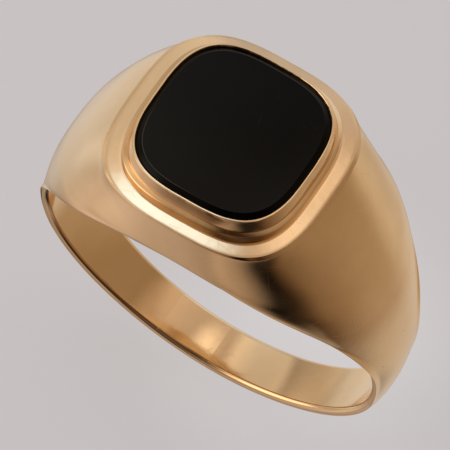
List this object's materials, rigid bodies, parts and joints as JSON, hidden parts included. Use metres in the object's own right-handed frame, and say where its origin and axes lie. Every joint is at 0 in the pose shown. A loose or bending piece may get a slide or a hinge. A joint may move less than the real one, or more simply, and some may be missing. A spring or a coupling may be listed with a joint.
{
  "type": "signet ring",
  "caption": "Gold signet ring with a tapered shank, a cushion-shaped head, a stepped bezel and a flat bevelled black onyx.",
  "frame": {"origin": "centre of the finger bore, midway along it", "axes": "+Y along the finger bore, +Z from the finger up through the centre of the stone, +X across the shoulders"},
  "size_m": [0.0212, 0.012, 0.0263],
  "materials": {
    "gold": "polished, with fine wear",
    "insert_gold": "polished",
    "plate_gold": "polished",
    "bezel_gold": "polished",
    "onyx": "polished"
  },
  "bodies": {
    "root": {"shank_body": "gold", "sizing_insert": "insert_gold", "head_plate": "plate_gold", "bezel_collar": "bezel_gold", "bezel_wall": "bezel_gold", "bearing_ring": "bezel_gold", "onyx_stone": "onyx"}
  },
  "joints": []
}
